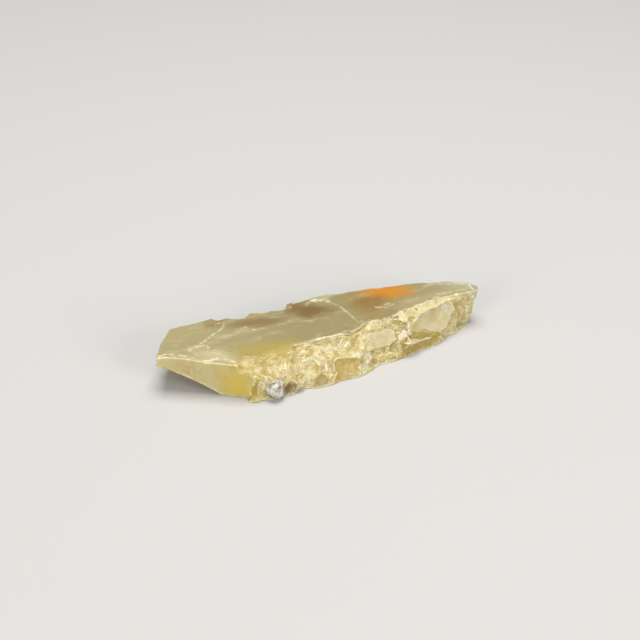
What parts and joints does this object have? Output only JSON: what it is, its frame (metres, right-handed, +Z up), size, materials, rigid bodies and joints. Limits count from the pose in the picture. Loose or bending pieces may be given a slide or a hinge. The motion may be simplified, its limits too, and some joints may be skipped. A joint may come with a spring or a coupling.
{
  "type": "hokkaidoite slice",
  "caption": "Long pale yellow opal slice, sawn flat above and below, with a rough flaked edge, an undercut left end and a small chalky lump near its foot.",
  "frame": {"origin": "On the sawn base, under the middle of the stone's box.", "axes": "+X runs along the slice from its thin undercut end to its pointed end, -Y is the broken front with the chalky lump, +Z is up out of the sawn upper face."},
  "size_m": [0.0444, 0.0158, 0.0048],
  "materials": {
    "opal": "smooth and waxy on the sawn faces, rough and glittering where broken"
  },
  "bodies": {
    "root": {"slice": "opal"}
  },
  "joints": []
}
